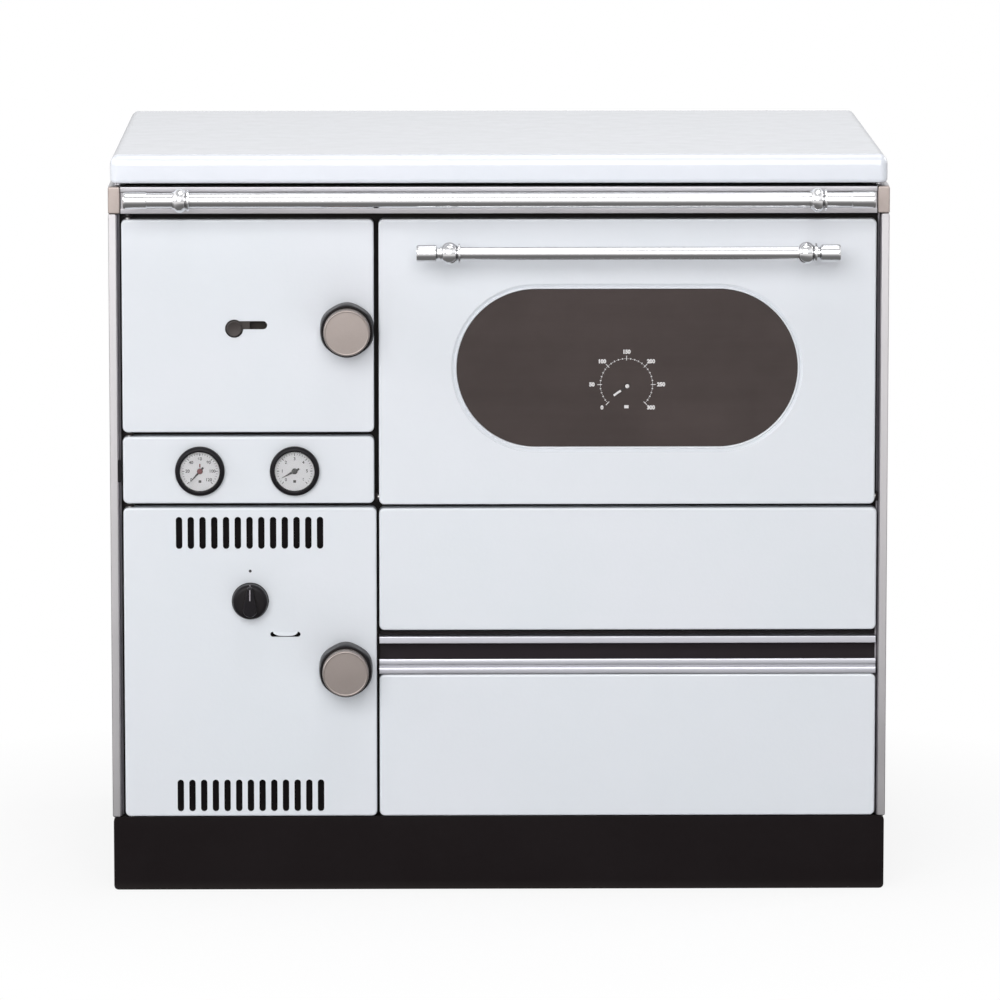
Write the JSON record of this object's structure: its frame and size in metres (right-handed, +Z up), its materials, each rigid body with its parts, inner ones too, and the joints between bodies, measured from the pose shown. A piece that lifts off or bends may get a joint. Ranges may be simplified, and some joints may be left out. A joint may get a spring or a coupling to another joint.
{
  "type": "wood cookstove",
  "caption": "Free-standing enamelled wood cookstove with firebox and ash doors, oven door with window, boiler gauges, fuel drawer, guard rail and folding hob lid.",
  "frame": {"origin": "on the floor, in the middle of the stove's outline", "axes": "+X to the viewer's right, +Y to the back, +Z up"},
  "size_m": [0.9, 0.714, 0.86],
  "materials": {
    "white_enamel": "glossy vitreous enamel, cool white",
    "sheet_steel": "dark sheet steel",
    "cast_iron": "blacked cast iron and boiler plate",
    "chrome": "polished chrome",
    "frame_steel": "bright ground steel",
    "brushed_strip": "brushed stainless steel",
    "cap_metal": "satin warm-grey metal",
    "knob_metal": "turned satin nickel",
    "black_steel": "matt black enamel",
    "aluminium": "satin aluminium profile",
    "black_bakelite": "black bakelite",
    "clear_lens": "clear gauge glass",
    "oven_glass": "dark tinted oven glass",
    "needle_white": "white painted pointer"
  },
  "bodies": {
    "stove": {"plinth": "black_steel", "floor_pan": "sheet_steel", "side_panel_left": "white_enamel", "side_panel_right": "white_enamel", "corner_trim_left": "brushed_strip", "corner_trim_right": "brushed_strip", "front_frame": "sheet_steel", "left_hinge_rod": "sheet_steel", "oven_hinge_rod": "sheet_steel", "back_panel": "sheet_steel", "hob_frame": "frame_steel", "corner_cap_left": "cap_metal", "corner_cap_right": "cap_metal", "hob_plate": "cast_iron", "hob_ring": "cast_iron", "hob_ring_cap": "cast_iron", "rail": "chrome", "rail_post_left": "chrome", "rail_post_right": "chrome", "lid_hinge_rod": "sheet_steel", "gauge_panel": "white_enamel", "thermometer_case": "black_bakelite", "thermometer_lens": "clear_lens", "manometer_case": "black_bakelite", "manometer_lens": "clear_lens", "soot_hatch": "cast_iron", "grip_channel": "aluminium", "boiler": "cast_iron", "grate": "cast_iron", "ash_pan": "sheet_steel", "oven_box": "sheet_steel", "oven_rack": "brushed_strip", "flue_collar": "cast_iron"},
    "firebox_door": {"firebox_door": "white_enamel", "firebox_liner": "cast_iron"},
    "firebox_knob": {"firebox_knob": "black_bakelite", "firebox_knob_face": "knob_metal"},
    "air_slider": {"air_slider": "black_steel"},
    "ash_door": {"ash_door": "white_enamel", "ash_liner": "cast_iron"},
    "ash_knob": {"ash_knob": "black_bakelite", "ash_knob_face": "knob_metal"},
    "thermostat": {"thermostat_knob": "black_bakelite"},
    "air_flap": {"air_flap": "sheet_steel"},
    "oven_door": {"oven_door": "white_enamel", "oven_glass": "oven_glass", "oven_liner": "cast_iron", "oven_handle": "chrome", "oven_handle_post_left": "chrome", "oven_handle_post_right": "chrome", "oven_dial_housing": "black_steel"},
    "oven_dial_needle": {"oven_dial_needle": "needle_white"},
    "drawer": {"drawer_front": "white_enamel", "drawer_grip": "aluminium", "drawer_box": "sheet_steel"},
    "soot_cover": {"soot_cover": "white_enamel"},
    "lid": {"lid": "white_enamel"},
    "thermometer_needle": {"thermometer_needle": "black_steel"},
    "manometer_needle": {"manometer_needle": "black_steel"}
  },
  "joints": [
    {"name": "firebox_door_hinge", "type": "hinge", "parent": "stove", "child": "firebox_door", "pos_m": [-0.428, -0.291, 0.662], "axis": [0, 0, -1], "range_deg": [0, 110]},
    {"name": "ash_door_hinge", "type": "hinge", "parent": "stove", "child": "ash_door", "pos_m": [-0.428, -0.291, 0.269], "axis": [0, 0, -1], "range_deg": [0, 110]},
    {"name": "oven_door_hinge", "type": "hinge", "parent": "stove", "child": "oven_door", "pos_m": [0.148, -0.292, 0.462], "axis": [1, 0, 0], "range_deg": [0, 90]},
    {"name": "drawer_slide", "type": "slide", "parent": "stove", "child": "drawer", "axis": [0, -1, 0], "range_m": [0, 0.38]},
    {"name": "soot_cover_pull", "type": "slide", "parent": "stove", "child": "soot_cover", "axis": [0, -1, 0], "range_m": [0, 0.06]},
    {"name": "lid_hinge", "type": "hinge", "parent": "stove", "child": "lid", "pos_m": [0, 0.29, 0.831], "axis": [-1, 0, 0], "range_deg": [0, 92]},
    {"name": "firebox_knob_turn", "type": "hinge", "parent": "firebox_door", "child": "firebox_knob", "pos_m": [-0.1755, -0.3, 0.658], "axis": [0, 1, 0], "range_deg": [0, 90]},
    {"name": "ash_knob_turn", "type": "hinge", "parent": "ash_door", "child": "ash_knob", "pos_m": [-0.178, -0.3, 0.2615], "axis": [0, 1, 0], "range_deg": [0, 90]},
    {"name": "air_slider_slide", "type": "slide", "parent": "firebox_door", "child": "air_slider", "axis": [1, 0, 0], "range_m": [0, 0.03]},
    {"name": "thermostat_turn", "type": "hinge", "parent": "ash_door", "child": "thermostat", "pos_m": [-0.2885, -0.3, 0.3415], "axis": [0, 1, 0], "range_deg": [0, 270]},
    {"name": "air_flap_swing", "type": "hinge", "parent": "ash_door", "child": "air_flap", "pos_m": [-0.2885, -0.2587, 0.1715], "axis": [1, 0, 0], "range_deg": [0, 55]},
    {"name": "thermometer_needle_turn", "type": "hinge", "parent": "stove", "child": "thermometer_needle", "pos_m": [-0.346, -0.3025, 0.4935], "axis": [0, 1, 0], "range_deg": [0, 270]},
    {"name": "manometer_needle_turn", "type": "hinge", "parent": "stove", "child": "manometer_needle", "pos_m": [-0.2365, -0.3025, 0.4935], "axis": [0, 1, 0], "range_deg": [-17, 253]},
    {"name": "oven_dial_needle_turn", "type": "hinge", "parent": "oven_door", "child": "oven_dial_needle", "pos_m": [0.148, -0.298, 0.5915], "axis": [0, 1, 0], "range_deg": [-10, 260]}
  ],
  "couplings": [
    {"joint": "air_flap_swing", "follows": "thermostat_turn", "ratio": 0.2}
  ]
}
